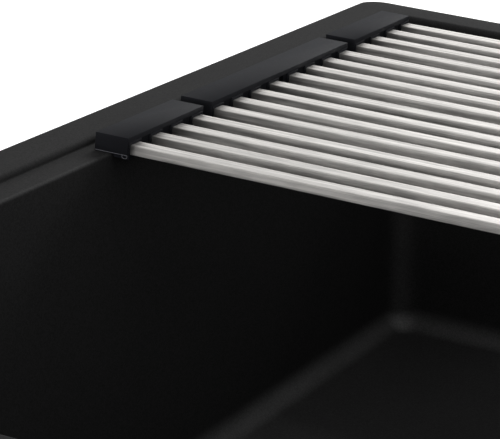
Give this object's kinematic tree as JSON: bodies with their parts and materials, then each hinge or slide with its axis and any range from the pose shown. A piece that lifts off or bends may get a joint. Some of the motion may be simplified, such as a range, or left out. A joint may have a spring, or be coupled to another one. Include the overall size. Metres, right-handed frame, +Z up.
{
  "type": "workstation kitchen sink",
  "caption": "Rectangular composite kitchen sink with a stepped ledge, a folding drying rack of steel bars that slides on the ledge, and a lift-out basket strainer.",
  "frame": {"origin": "centre of the rectangle of threaded inserts, on the underside of the rim, midway along and across the sink", "axes": "+X along the sink towards the end where the rack stands, +Y from the front rim to the back rim, +Z up"},
  "size_m": [0.838, 0.483, 0.3938],
  "materials": {
    "composite": "matte moulded quartz composite",
    "bar_steel": "brushed along the bar",
    "cap_plastic": "fine matte texture",
    "silicone": "matte silicone",
    "pin_steel": "turned",
    "brass": "plain",
    "polished_steel": "polished",
    "basket_steel": "satin",
    "seal_rubber": "matte",
    "fibre": "pressed fibre",
    "die_cast": "die cast, dull",
    "washer_plastic": "plain",
    "knob_plastic": "matte"
  },
  "bodies": {
    "sink": {"sink_bowl": "composite", "rim_inserts": "brass", "flange_seal": "seal_rubber", "strainer_body": "polished_steel", "drain_gasket": "seal_rubber", "friction_washer": "fibre", "locknut": "die_cast", "tailpiece_washer": "washer_plastic", "tailpiece": "polished_steel", "slip_nut": "die_cast"},
    "basket": {"strainer_basket": "basket_steel", "basket_post": "polished_steel", "basket_knob": "knob_plastic", "basket_stopper": "seal_rubber", "stopper_retainer": "polished_steel"},
    "rack_middle": {"rod_05": "bar_steel", "rod_06": "bar_steel", "rod_07": "bar_steel", "rod_08": "bar_steel", "rod_09": "bar_steel", "rod_10": "bar_steel", "rod_11": "bar_steel", "rod_12": "bar_steel", "cap_middle_back": "cap_plastic", "cap_middle_front": "cap_plastic", "pad_middle_back": "silicone", "pad_middle_front": "silicone"},
    "rack_inner": {"rod_01": "bar_steel", "rod_02": "bar_steel", "rod_03": "bar_steel", "rod_04": "bar_steel", "cap_inner_back": "cap_plastic", "cap_inner_front": "cap_plastic", "pad_inner_back": "silicone", "pad_inner_front": "silicone"},
    "rack_outer": {"rod_13": "bar_steel", "rod_14": "bar_steel", "rod_15": "bar_steel", "rod_16": "bar_steel", "cap_outer_back": "cap_plastic", "cap_outer_front": "cap_plastic", "pad_outer_back": "silicone", "pad_outer_front": "silicone"},
    "inner_links": {"link_inner_back": "cap_plastic", "link_inner_front": "cap_plastic", "link_pins_inner": "pin_steel"},
    "outer_links": {"link_outer_back": "cap_plastic", "link_outer_front": "cap_plastic", "link_pins_outer": "pin_steel"}
  },
  "joints": [
    {"name": "rack_slide", "type": "slide", "parent": "sink", "child": "rack_middle", "axis": [1, 0, 0], "range_m": [-0.36, 0]},
    {"name": "inner_link_fold", "type": "hinge", "parent": "rack_middle", "child": "inner_links", "pos_m": [0.0901, 0, 0.012], "axis": [0, 1, 0], "range_deg": [0, 90]},
    {"name": "inner_flap_fold", "type": "hinge", "parent": "inner_links", "child": "rack_inner", "pos_m": [0.0735, 0, 0.012], "axis": [0, 1, 0], "range_deg": [0, 90]},
    {"name": "outer_link_fold", "type": "hinge", "parent": "rack_middle", "child": "outer_links", "pos_m": [0.2702, 0, 0.012], "axis": [0, -1, 0], "range_deg": [0, 90]},
    {"name": "outer_flap_fold", "type": "hinge", "parent": "outer_links", "child": "rack_outer", "pos_m": [0.2868, 0, 0.012], "axis": [0, -1, 0], "range_deg": [0, 90]},
    {"name": "basket_lift", "type": "slide", "parent": "sink", "child": "basket", "axis": [0, 0, 1], "range_m": [0, 0.06]}
  ],
  "couplings": [
    {"joint": "inner_link_fold", "follows": "inner_flap_fold", "ratio": 1},
    {"joint": "outer_link_fold", "follows": "outer_flap_fold", "ratio": 1}
  ]
}
